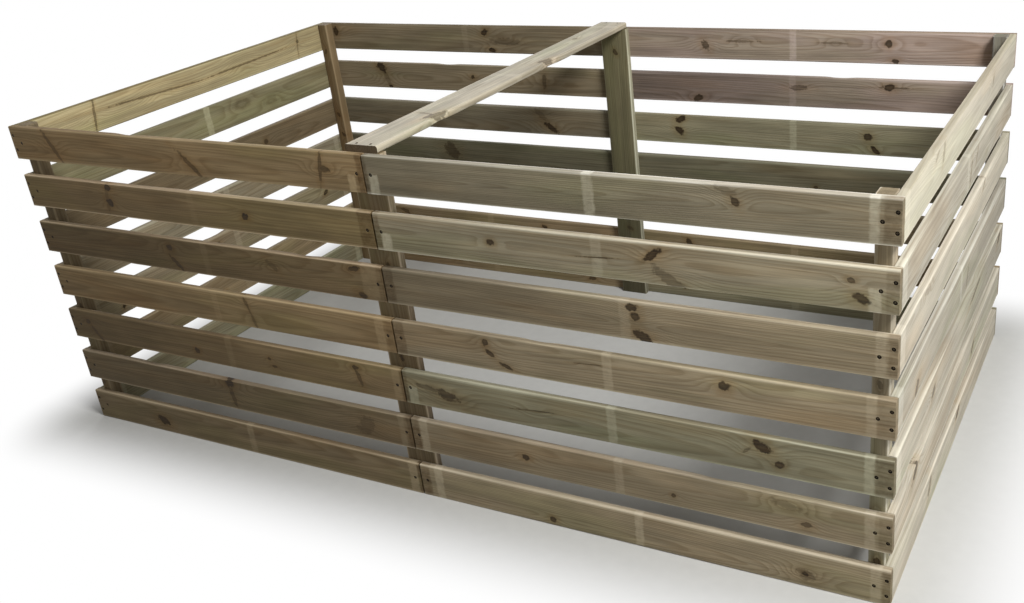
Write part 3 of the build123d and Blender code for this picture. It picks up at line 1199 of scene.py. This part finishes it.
# The light, falloff and edge numbers below also hold painted light and shade: lit edges lighter,
# boards and ends in shade darker.
LOOKS = {
    "front_left": {
        7: BoardLook(
            Tone.UMBER, 0.91, fade=(1.0, 1.06), painted_edge_light=1.1, wane=(-780,),
            knots=(Knot((-1113, 43), (-1060, -44), 14, 0.6),
                   Knot((-600, 18), (-530, -48), 14, 0.65), Knot((-122, 46), (-138, -42), 11, 0.65),
                   spot(-115, 6, 28, 18, 0.7)),
            pale=(Band(-38, 22, 0.85, high=0), Band(-604, 24, 0.12)),
            shade=(Band(-8, 22, 1.0),),
        ),
        6: BoardLook(
            Tone.UMBER, 0.72, fade=(0.92, 1.06), painted_edge_light=2.3,
            knots=(spot(-906, 36, 24, 18, 0.9), spot(-916, -8, 24, 22, 1.0),
                   Knot((-914, 40), (-930, -46), 12, 0.35), spot(-414, -2, 22, 17, 1.0, 20)),
            pale=(Band(-600, 22, 0.12),),
            shade=(Band(-21, 46, 0.9),),
        ),
        5: BoardLook(
            Tone.UMBER, 0.59, fade=(0.66, 1.0), painted_edge_light=1.8, wane=(-250,),
            knots=(spot(-727, 20, 20, 18, 0.9), Knot((-732, -6), (-694, -44), 13, 0.75),
                   spot(-85, 35, 36, 14, 0.9, 10), spot(-73, -37, 32, 15, 0.9, -20),
                   spot(-362, 10, 40, 16, 0.4, -35)),
            pale=(Band(-598, 22, 0.15), Band(-44, 50, 0.4)),
            shade=(Band(-3, 12, 0.5),),
        ),
        4: BoardLook(
            Tone.UMBER, 0.92, fade=(0.8, 1.0), painted_edge_light=1.1,
            knots=(Knot((-496, 46), (-484, 8), 12, 0.6), Knot((-484, 8), (-468, -47), 10, 0.5)),
            pale=(Band(-43, 28, 0.35), Band(-606, 22, 0.15)),
            shade=(Band(-10, 26, 0.45),),
        ),
        3: BoardLook(
            Tone.UMBER, 0.68, fade=(0.64, 1.05), painted_edge_light=1.15,
            knots=(spot(-1174, 14, 17, 14, 0.8), Knot((-1168, 4), (-1130, -45), 13, 0.6),
                   spot(-731, -14, 18, 16, 0.95), spot(-453, 6, 12, 10, 0.8),
                   spot(-441, -17, 18, 9, 0.8), spot(-150, 30, 20, 14, 0.9),
                   Knot((-149, 20), (-136, -30), 13, 0.65)),
            pale=(Band(-22, 24, 0.35), Band(-600, 24, 0.2)),
            shade=(Band(-2, 12, 0.8),),
        ),
        2: BoardLook(
            Tone.BROWN, 0.51, fade=(0.8, 1.0), painted_edge_light=1.8, wane=(-950,),
            knots=(spot(-638, 38, 34, 26, 1.0), Knot((-638, 22), (-630, -38), 15, 0.6),
                   spot(-154, -6, 60, 50, 0.4, 40)),
            pale=(Band(-32, 20, 0.4),),
            shade=(Band(-6, 18, 0.8),),
        ),
        1: BoardLook(
            Tone.BROWN, 0.64, fade=(0.86, 1.0), painted_edge_light=1.3,
            knots=(spot(-965, -9, 44, 27, 1.0, -15),),
            pale=(Band(-24, 28, 0.6), Band(-602, 24, 0.4)),
            shade=(Band(-3, 12, 0.8),),
        ),
    },
    "front_right": {
        7: BoardLook(
            Tone.GREY, 0.78, fade=(0.82, 1.0), painted_edge_light=2.1,
            knots=(spot(922, 14, 24, 16, 0.9, -50), spot(905, 36, 50, 14, 0.3, -15)),
            pale=(Band(28, 26, 0.9, high=0), Band(594, 26, 0.7), Band(1198, 20, 0.7)),
            shade=(Band(4, 16, 0.9), Band(1232, 34, 0.75)),
        ),
        6: BoardLook(
            Tone.GREY, 0.92, fade=(0.95, 0.98), painted_edge_light=1.35,
            knots=(spot(330, 6, 18, 14, 0.95), Knot((560, -2), (655, 4), 3, 0.85),
                   Knot((714, 6), (756, 38), 16, 1.0), Knot((732, -4), (806, -56), 24, 0.5),
                   spot(1154, 16, 16, 11, 0.8), spot(1178, -21, 34, 22, 0.9, -20)),
            pale=(Band(35, 28, 0.7, high=-4), Band(600, 26, 0.25), Band(1202, 26, 0.6, high=4)),
            shade=(Band(8, 22, 0.9), Band(1238, 30, 0.6)),
        ),
        5: BoardLook(
            Tone.TAUPE, 0.83, fade=(0.7, 1.08), painted_edge_light=1.35,
            knots=(spot(675, 34, 26, 18, 0.95), spot(681, 12, 22, 18, 0.9),
                   spot(697, -34, 46, 22, 0.95, -25)),
            pale=(Band(655, 26, 0.25), Band(1216, 22, 0.3)),
            shade=(Band(14, 34, 0.8), Band(1241, 20, 0.6)),
        ),
        4: BoardLook(
            Tone.TAUPE, 0.93, fade=(0.88, 1.0), painted_edge_light=1.2, wane=(420,),
            knots=(spot(273, 27, 18, 14, 0.85, 70), spot(284, -1, 24, 12, 0.9, -40),
                   spot(328, -31, 38, 11, 0.9, -22), Knot((510, 12), (590, 17), 3, 0.6),
                   spot(881, 16, 26, 22, 0.9)),
            pale=(Band(599, 24, 0.35), Band(1200, 22, 0.25)),
            shade=(Band(16, 36, 0.8), Band(1231, 38, 0.4)),
        ),
        3: BoardLook(
            Tone.MOSS, 0.75, painted_edge_light=1.3,
            knots=(Knot((30, 14), (120, 4), 14, 0.55), spot(136, -4, 60, 26, 0.8, -14),
                   Knot((325, -3), (450, 6), 3.5, 0.7), spot(963, 23, 46, 26, 1.0, -35),
                   spot(1001, -16, 22, 18, 0.95), spot(925, 4, 30, 8, 0.5, 40)),
            pale=(Band(28, 28, 0.6, high=4), Band(597, 24, 0.5), Band(1198, 22, 0.6)),
            shade=(Band(6, 16, 0.9), Band(1231, 40, 0.7)),
        ),
        2: BoardLook(
            Tone.TAUPE, 0.72, painted_edge_light=1.6, wane=(850,),
            knots=(spot(345, 2, 26, 15, 0.95), spot(743, -16, 12, 10, 0.8),
                   spot(1019, 24, 80, 20, 0.35, -10), spot(1060, -17, 26, 14, 0.7)),
            pale=(Band(40, 24, 0.5), Band(603, 24, 0.35), Band(1202, 24, 0.45)),
            shade=(Band(11, 28, 0.95), Band(1236, 30, 0.5)),
        ),
        1: BoardLook(
            Tone.TAUPE, 0.81, painted_edge_light=1.35,
            knots=(spot(402, -30, 20, 16, 0.9), spot(1061, -13, 46, 28, 0.45),
                   spot(1056, -11, 18, 13, 0.95)),
            pale=(Band(60, 26, 0.65), Band(645, 22, 0.55), Band(1217, 24, 0.35)),
            shade=(Band(14, 36, 0.95), Band(1241, 20, 0.6)),
        ),
    },
    "back_left": {
        7: BoardLook(
            Tone.TAUPE, 0.74, painted_edge_light=0.58,
            knots=(spot(-1181, 16, 36, 22, 0.9, 80), spot(-514, 24, 30, 20, 1.0, 30),
                   spot(-493, -38, 30, 14, 1.0, -15), spot(-440, -6, 120, 24, 0.4)),
            pale=(Band(-600, 24, 0.2),),
        ),
        6: BoardLook(
            Tone.TAUPE, 0.74, wane=(-700,),
            knots=(spot(-996, 30, 46, 30, 1.0, -45), Knot((-985, 10), (-966, -36), 20, 0.35),
                   spot(-964, -41, 16, 12, 1.0), spot(-590, 6, 18, 14, 0.95),
                   Knot((-290, 30), (-300, -30), 18, 0.6)),
        ),
        5: BoardLook(
            Tone.GREY, 0.54,
            knots=(spot(-288, -22, 64, 22, 1.0, -35), Knot((-345, 44), (-300, 0), 20, 0.35)),
        ),
        4: BoardLook(Tone.MOSS, 0.47, knots=(spot(-729, 7, 70, 50, 0.7, -40),)),
    },
    "back_right": {
        7: BoardLook(
            Tone.ROSE, 1.05, fade=(0.86, 1.03), painted_edge_light=0.58,
            knots=(spot(315, -4, 34, 20, 0.75, -50), Knot((385, 12), (495, 11), 7, 0.5),
                   Knot((690, 12), (775, 11), 6, 0.45), spot(895, 12, 22, 20, 0.9),
                   spot(915, -38, 24, 13, 0.9)),
            pale=(Band(603, 22, 0.4),),
        ),
        6: BoardLook(
            Tone.ROSE, 0.74, fade=(0.57, 1.21), wane=(750,),
            knots=(spot(282, -33, 36, 20, 0.9, 20), spot(620, 13, 60, 16, 0.6),
                   spot(900, 24, 34, 20, 0.95), Knot((870, 24), (965, 24), 6, 0.6)),
            pale=(Band(600, 22, 0.25),),
        ),
        5: BoardLook(
            Tone.MOSS, 0.9, fade=(1.0, 0.86),
            knots=(spot(212, 34, 34, 18, 1.0, 25), spot(206, -4, 32, 22, 1.0, -40),
                   spot(839, 10, 26, 22, 0.95), spot(861, -30, 30, 15, 1.0, -40)),
            pale=(Band(600, 22, 0.5),),
        ),
        4: BoardLook(Tone.MOSS, 0.52, knots=(spot(673, -24, 14, 12, 0.9),)),
    },
    "left_end": {
        7: BoardLook(
            Tone.HONEY, 0.98, fade=(1.12, 1.0), painted_edge_light=0.43,
            knots=(Knot((-405, 46), (-419, -44), 9, 0.6), Knot((-345, 11), (30, -4), 6, 0.6),
                   Knot((30, -4), (415, 6), 6, 0.6), spot(503, 14, 14, 12, 0.7),
                   Knot((505, 45), (494, -44), 7, 0.4)),
        ),
        6: BoardLook(
            Tone.OLIVE, 0.8,
            knots=(spot(170, 16, 80, 30, 0.2), spot(311, -6, 70, 26, 0.2)),
            pale=(Band(11, 26, 0.8),),
        ),
        5: BoardLook(Tone.BROWN, 0.53, knots=(spot(243, 1, 22, 18, 0.8),)),
    },
    "right_end": {
        7: BoardLook(
            Tone.PALE, 0.99, fade=(1.08, 1.0), painted_edge_light=0.75, rings=0.6,
            knots=(spot(-311, 18, 50, 18, 0.35, 70), spot(-380, 30, 36, 12, 0.3, 30),
                   spot(300, 10, 30, 14, 0.3, 60)),
            pale=(Band(-640, 40, 0.3),),
        ),
        6: BoardLook(
            Tone.PALE, 0.8, fade=(0.95, 1.13), rings=0.85,
            knots=(spot(45, -4, 60, 10, 0.5, 75), spot(120, 20, 40, 10, 0.4, 60)),
            pale=(Band(-640, 40, 0.3), Band(10, 24, 0.3)),
        ),
        5: BoardLook(
            Tone.PALE, 0.97, fade=(0.94, 1.06), rings=0.8,
            knots=(spot(-420, 30, 60, 14, 0.25, -10), spot(260, 36, 40, 12, 0.5, 40)),
            pale=(Band(-640, 40, 0.3),),
        ),
        4: BoardLook(
            Tone.PALE, 0.75, fade=(1.04, 0.95), rings=0.9,
            knots=(spot(82, -10, 50, 10, 0.5, 70), spot(-488, -21, 50, 20, 0.6, 35)),
            pale=(Band(-640, 40, 0.3), Band(0, 24, 0.3)),
        ),
        3: BoardLook(
            Tone.PALE, 0.81, fade=(1.12, 0.85), rings=0.9,
            knots=(spot(225, 24, 140, 10, 0.7, 8), spot(601, 25, 40, 20, 0.9, 30),
                   spot(-300, 0, 40, 20, 0.6, 30)),
            pale=(Band(-640, 40, 0.3),),
        ),
        2: BoardLook(
            Tone.PALE, 0.87, fade=(1.1, 0.9), rings=0.85, wane=(250,),
            knots=(spot(-470, 30, 60, 22, 0.8, 30), spot(240, -10, 50, 18, 0.7, 40)),
        ),
        1: BoardLook(
            Tone.PALE, 0.92, fade=(1.03, 0.93), rings=0.8,
            knots=(spot(54, 24, 45, 15, 0.9, 30), spot(-290, 10, 60, 20, 0.5, 60)),
        ),
    },
}

# The posts' light and falloff numbers are largely painted shade: faces in shade darker, lit sides
# lighter by their edge factor.
POST_LOOKS = {
    "front_left_post": BoardLook(
        Tone.BROWN, 0.56, end_dark=0.0, painted_edge_light=1.1,
        pale=(Band(952, 14, 0.5),),
    ),
    "front_right_post": BoardLook(Tone.GREY, 0.75, fade=(0.8, 1.0), end_dark=0.0, painted_edge_light=1.75),
    "back_left_post": BoardLook(Tone.UMBER, 0.66, end_dark=0.0, painted_edge_light=1.1),
    "back_right_post": BoardLook(Tone.PALE, 0.46, end_dark=0.0, painted_edge_light=1.4),
    "front_mid_post": BoardLook(Tone.BROWN, 0.6, fade=(0.75, 1.2), end_dark=0.0, painted_edge_light=2.1),
    "back_mid_post": BoardLook(Tone.OLIVE, 0.64, fade=(0.4, 1.0), end_dark=0.0, painted_edge_light=2.3),
}

# The rail's full end_dark is partly painted shade on its front end, and its edge factor below 1 is
# painted shade on its sides.
RAIL_LOOK = BoardLook(
    Tone.PALE, 1.13, end_dark=1.0, painted_edge_light=0.75, wane=(-405, 158),
    knots=(spot(-410, 30, 80, 20, 0.65, 12), Knot((-395, -30), (-405, 30), 10, 0.4),
           spot(150, 34, 60, 16, 0.6, 12), spot(420, -14, 20, 14, 0.5)),
    pale=(Band(-20, 26, 0.3), Band(590, 26, 0.35)),
)


@dataclass
class LongWall:
    """The front or the back wall: seven rows of two boards, and its screws.

    Attributes:
        joinery: Trees and finishes.
        side: The word front or back, as in the solids' names.
        facing: Which way its outer face looks.
        seed: Seed of its screws' turns.
        reach: Where knots may start and end, in millimetres from the wall's middle.
        sticks: Where drying sticks lay, in the same way.
        arris: Rounding of the boards' edges.
        most_trim: How much shorter than its solid a board is at most.
        end_rise: Height of the end screws above and below the middle, as a share of the width.
        mid_spread: Distance of the mid screws as a share of the mid post's width.
    """

    joinery: Joinery
    side: str
    facing: Facing
    seed: int
    reach: Point = (60.0, 1200.0)
    sticks: Triple = (30.0, 600.0, 1190.0)
    arris: float = 0.0025
    most_trim: float = 0.003
    end_rise: float = 0.22
    mid_spread: float = 0.43

    def _seats(self, half: str, way: int, row: int) -> list[Vector]:
        """Screw seats of one board.

        Args:
            half: The word left or right.
            way: Its sign along X.
            row: Row from the ground.

        Returns:
            Two seats at the side board's end, one on the corner post, one on the mid post.
        """
        low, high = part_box(f"{self.side}_{half}_slat_{row}")
        face = low.y if self.facing is Facing.FRONT else high.y
        height, rise = (low.z + high.z) / 2, self.end_rise * (high.z - low.z)
        wall_low, wall_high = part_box(f"{half}_end_slat_{row}")
        post_low, post_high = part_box(f"{self.side}_{half}_post")
        mid_low, mid_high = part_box(f"{self.side}_mid_post")
        wall_x = (wall_low.x + wall_high.x) / 2
        post_x = (post_low.x + post_high.x) / 2
        mid_x = way * self.mid_spread * (mid_high.x - mid_low.x) / 2
        places = ((wall_x, -rise), (wall_x, rise), (post_x, 0.0), (mid_x, 0.0))
        return [Vector((x, face, height + up)) for x, up in places]

    def build(self) -> None:
        """Make the boards and drive their screws."""
        wall_seats = []
        for row in ROWS:
            for half, way in (("left", -1), ("right", 1)):
                low, high = sorted(way * place for place in self.reach)
                sticks = [way * stick for stick in self.sticks]
                look = look_of(f"{self.side}_{half}", row, low, high, sticks)
                seats = self._seats(half, way, row)
                wall_seats += seats
                trim = random.Random(f"{half} {row}").uniform(0.0, self.most_trim)
                self.joinery.saw(f"{self.side}_{half}_slat_{row}", Lay.LONG_WALL, look, Slot.PINE,
                                 self.arris, seats, self.facing, trim=trim)
        self.joinery.drive(f"{self.side}_screws", wall_seats, self.facing, self.seed)


@dataclass
class EndWall:
    """The left or the right wall: seven boards between the front and the back.

    Attributes:
        joinery: Trees and finishes.
        side: The word left or right, as in the solids' names.
        reach: Where knots may start and end, in millimetres from front to back.
        sticks: Where drying sticks lay, in the same way.
        arris: Rounding of the boards' edges.
    """

    joinery: Joinery
    side: str
    reach: Point = (-600.0, 600.0)
    sticks: Triple = (-600.0, 10.0, 600.0)
    arris: float = 0.0025

    def build(self) -> None:
        """Make the boards."""
        for row in ROWS:
            look = look_of(f"{self.side}_end", row, *self.reach, self.sticks)
            node = f"{self.side}_end_slat_{row}"
            self.joinery.saw(node, Lay.END_WALL, look, Slot.PINE, self.arris)


@dataclass
class Posts:
    """The four corner posts and the two mid posts.

    Attributes:
        joinery: Trees and finishes.
        knots: How many knots each has.
        knot_size: Length and width of a knot in millimetres.
        arris: Rounding of their edges.
        uneven: How far the saw wandered.
    """

    joinery: Joinery
    knots: int = 3
    knot_size: Point = (22.0, 13.0)
    arris: float = 0.004
    uneven: float = 0.0012

    def build(self) -> None:
        """Make the posts."""
        for node, look in POST_LOOKS.items():
            dice = random.Random(node)
            knots = tuple(
                spot(dice.uniform(50, 900), dice.uniform(-12, 12), *self.knot_size,
                     dice.uniform(0.5, 0.9), dice.uniform(-60, 60))
                for _ in range(self.knots)
            )
            self.joinery.saw(node, Lay.UPRIGHT, replace(look, knots=knots), Slot.POST,
                             self.arris, uneven=self.uneven)


@dataclass
class TopRail:
    """The board across the top, laid flat on the mid posts, with bark edge on its right side.

    Attributes:
        joinery: Trees and finishes.
        seed: Seed of its screws' turns.
        arris: Rounding of its edges.
        wane_depth: How deep its bark edge bites.
        screw_inset: Distance of its screws from its ends.
        mid_spread: Distance of its screws from each other as a share of the mid post's width.
    """

    joinery: Joinery
    seed: int
    arris: float = 0.005
    wane_depth: float = 0.016
    screw_inset: float = 0.011
    mid_spread: float = 0.43

    def build(self) -> None:
        """Make the rail and drive its screws."""
        low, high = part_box("cross_rail")
        mid_low, mid_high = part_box("front_mid_post")
        spread = self.mid_spread * (mid_high.x - mid_low.x) / 2
        middle = (low.x + high.x) / 2
        seats = [
            Vector((middle + side * spread, y, high.z))
            for y in (low.y + self.screw_inset, high.y - self.screw_inset)
            for side in (-1, 1)
        ]
        self.joinery.saw("cross_rail", Lay.FLAT, RAIL_LOOK, Slot.PINE, self.arris, seats,
                         Facing.UP, wane_depth=self.wane_depth)
        self.joinery.drive("rail_screws", seats, Facing.UP, self.seed)


@dataclass(frozen=True)
class Lamp:
    """A soft square lamp.

    Attributes:
        name: Its name.
        place: Where it hangs.
        target: What it points at.
        size: Width of its face.
        power: Its power in watts.
    """

    name: str
    place: Triple
    target: Triple
    size: float
    power: float

    def hang(self) -> None:
        """Make the lamp."""
        data = bpy.data.lights.new(self.name, "AREA")
        data.shape = "SQUARE"
        data.size = self.size
        data.energy = self.power
        lamp = bpy.data.objects.new(self.name, data)
        lamp.visible_camera = False
        bpy.context.scene.collection.objects.link(lamp)
        aim = (Vector(self.target) - Vector(self.place)).to_track_quat("-Z", "Y")
        lamp.matrix_world = Matrix.Translation(self.place) @ aim.to_matrix().to_4x4()


@dataclass
class Studio:
    """Floor, light and camera.

    Attributes:
        eye: Place of the camera.
        azimuth: Way it looks, in degrees from the back towards the right.
        elevation: How far it looks up.
        roll: How far it leans.
        focal: Distance of the image in the image's pixels.
        axis: Pixel that lies straight ahead.
        sensor: Width of the camera's sensor in millimetres.
        floor_reach: Half the size of the floor.
        footprint: Half the size of the bin on the floor.
        shadow_reach: How far from the bin the floor's shadow fades into white.
        floor_tones: The two colours that its grain mixes.
        sky: Colour of the light from all sides.
        sky_strength: How strong that light is.
        lamps: The lamps.
    """

    eye: Triple = (1.670, -2.5773, 1.6795)
    azimuth: float = -28.879
    elevation: float = -25.585
    roll: float = -5.381
    focal: float = 1097.3
    axis: Point = (610.8, 308.3)
    sensor: float = 36.0
    floor_reach: float = 30.0
    footprint: Triple = (1.25, 0.68, 0.0)
    shadow_reach: float = 0.32
    floor_tones: tuple[Colour, Colour] = (linear(184, 184, 181), linear(192, 192, 189))
    sky: Colour = (1.0, 0.985, 0.96, 1.0)
    sky_strength: float = 0.2
    lamps: tuple[Lamp, ...] = (
        Lamp("key", (3.6, -1.6, 4.1), (0.2, 0.0, 0.4), 1.4, 272.0),
        Lamp("fill", (2.9, -2.2, 1.0), (0.6, -0.4, 0.5), 1.0, 15.0),
        Lamp("rear", (-3.2, 3.0, 1.3), (0.0, 0.0, 0.5), 2.0, 60.0),
    )

    def build(self) -> None:
        """Set up the whole studio."""
        scene = bpy.context.scene
        scene.view_settings.view_transform = "Standard"
        self._camera(scene)
        self._world(scene)
        self._floor(scene)
        for lamp in self.lamps:
            lamp.hang()

    def _camera(self, scene: bpy.types.Scene) -> None:
        """Place the camera as the picture was taken.

        Args:
            scene: The scene that it belongs to.
        """
        azimuth, elevation = math.radians(self.azimuth), math.radians(self.elevation)
        roll = math.radians(self.roll)
        ahead = Vector((
            math.sin(azimuth) * math.cos(elevation),
            math.cos(azimuth) * math.cos(elevation),
            math.sin(elevation),
        ))
        level = ahead.cross(Vector((0, 0, 1))).normalized()
        upright = level.cross(ahead)
        right = math.cos(roll) * level + math.sin(roll) * upright
        up = math.cos(roll) * upright - math.sin(roll) * level
        data = bpy.data.cameras.new("picture_camera")
        data.sensor_fit = "HORIZONTAL"
        data.sensor_width = self.sensor
        data.lens = self.sensor * self.focal / IMAGE_WIDTH
        data.shift_x = 0.5 - self.axis[0] / IMAGE_WIDTH
        data.shift_y = (self.axis[1] - IMAGE_HEIGHT / 2) / IMAGE_WIDTH
        data.clip_end = 200.0
        camera = bpy.data.objects.new("picture_camera", data)
        scene.collection.objects.link(camera)
        turn = Matrix((right, up, -ahead)).transposed().to_4x4()
        camera.matrix_world = Matrix.Translation(self.eye) @ turn
        scene.camera = camera

    def _seen(self, g: Graph) -> Wire:
        """Tell what the eye, a mirror or glass sees from what is only lit.

        Args:
            g: Writer of the material or world.

        Returns:
            One where it is seen, otherwise zero.
        """
        path = g.node("ShaderNodeLightPath")
        eye, mirror, glass = (
            Wire(g, path.outputs[f"Is {ray} Ray"]) for ray in ("Camera", "Glossy", "Transmission")
        )
        return eye.top(mirror).top(glass)

    def _world(self, scene: bpy.types.Scene) -> None:
        """White to the eye, soft grey light for everything else.

        Args:
            scene: The scene that it belongs to.
        """
        scene.world = bpy.data.worlds.new("studio")
        g = blank(scene.world)
        sky = {"Color": self.sky, "Strength": self.sky_strength}
        light = g.add("ShaderNodeBackground", sky)
        white = g.add("ShaderNodeBackground", {"Color": WHITE, "Strength": 1.0})
        both = g.add("ShaderNodeMixShader", {0: self._seen(g), 1: light, 2: white})
        g.node("ShaderNodeOutputWorld", {"Surface": both})

    def _floor(self, scene: bpy.types.Scene) -> None:
        """A wide pale floor that turns white away from the bin.

        Args:
            scene: The scene that it belongs to.
        """
        reach = self.floor_reach
        mesh = bpy.data.meshes.new("studio_floor")
        corners = [(-reach, -reach, 0), (reach, -reach, 0), (reach, reach, 0), (-reach, reach, 0)]
        mesh.from_pydata(corners, [], [(0, 1, 2, 3)])
        floor = bpy.data.objects.new("studio_floor", mesh)
        scene.collection.objects.link(floor)
        material = bpy.data.materials.new("studio_floor")
        g = blank(material)
        place = g.add("ShaderNodeTexCoord", output="Object")
        far = (abs(place) - self.footprint).top((0.0, 0.0, 0.0)).length()
        share = far.ramp(0.0, self.shadow_reach) * self._seen(g)
        colour = g.mix(g.noise(place, 30.0), *self.floor_tones)
        matte = g.add("ShaderNodeBsdfDiffuse", {"Color": colour})
        white = g.add("ShaderNodeEmission", {"Color": WHITE, "Strength": 1.0})
        both = g.add("ShaderNodeMixShader", {0: share, 1: matte, 2: white})
        g.node("ShaderNodeOutputMaterial", {"Surface": both})
        mesh.materials.append(material)


def main() -> None:
    """Build the bin's looks, piece by piece."""
    logging.basicConfig(level=logging.INFO, format="%(name)s: %(message)s")
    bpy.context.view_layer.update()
    joinery = Joinery(
        TimberTree(), ScrewTree(), TreatedPine(PineFigure()), CoatedSteel().material()
    )
    assemblies = (
        LongWall(joinery, "front", Facing.FRONT, 11),
        LongWall(joinery, "back", Facing.BACK, 12),
        EndWall(joinery, "left"),
        EndWall(joinery, "right"),
        Posts(joinery),
        TopRail(joinery, 13),
        Studio(),
    )
    for assembly in assemblies:
        assembly.build()


if __name__ == "__main__":
    main()
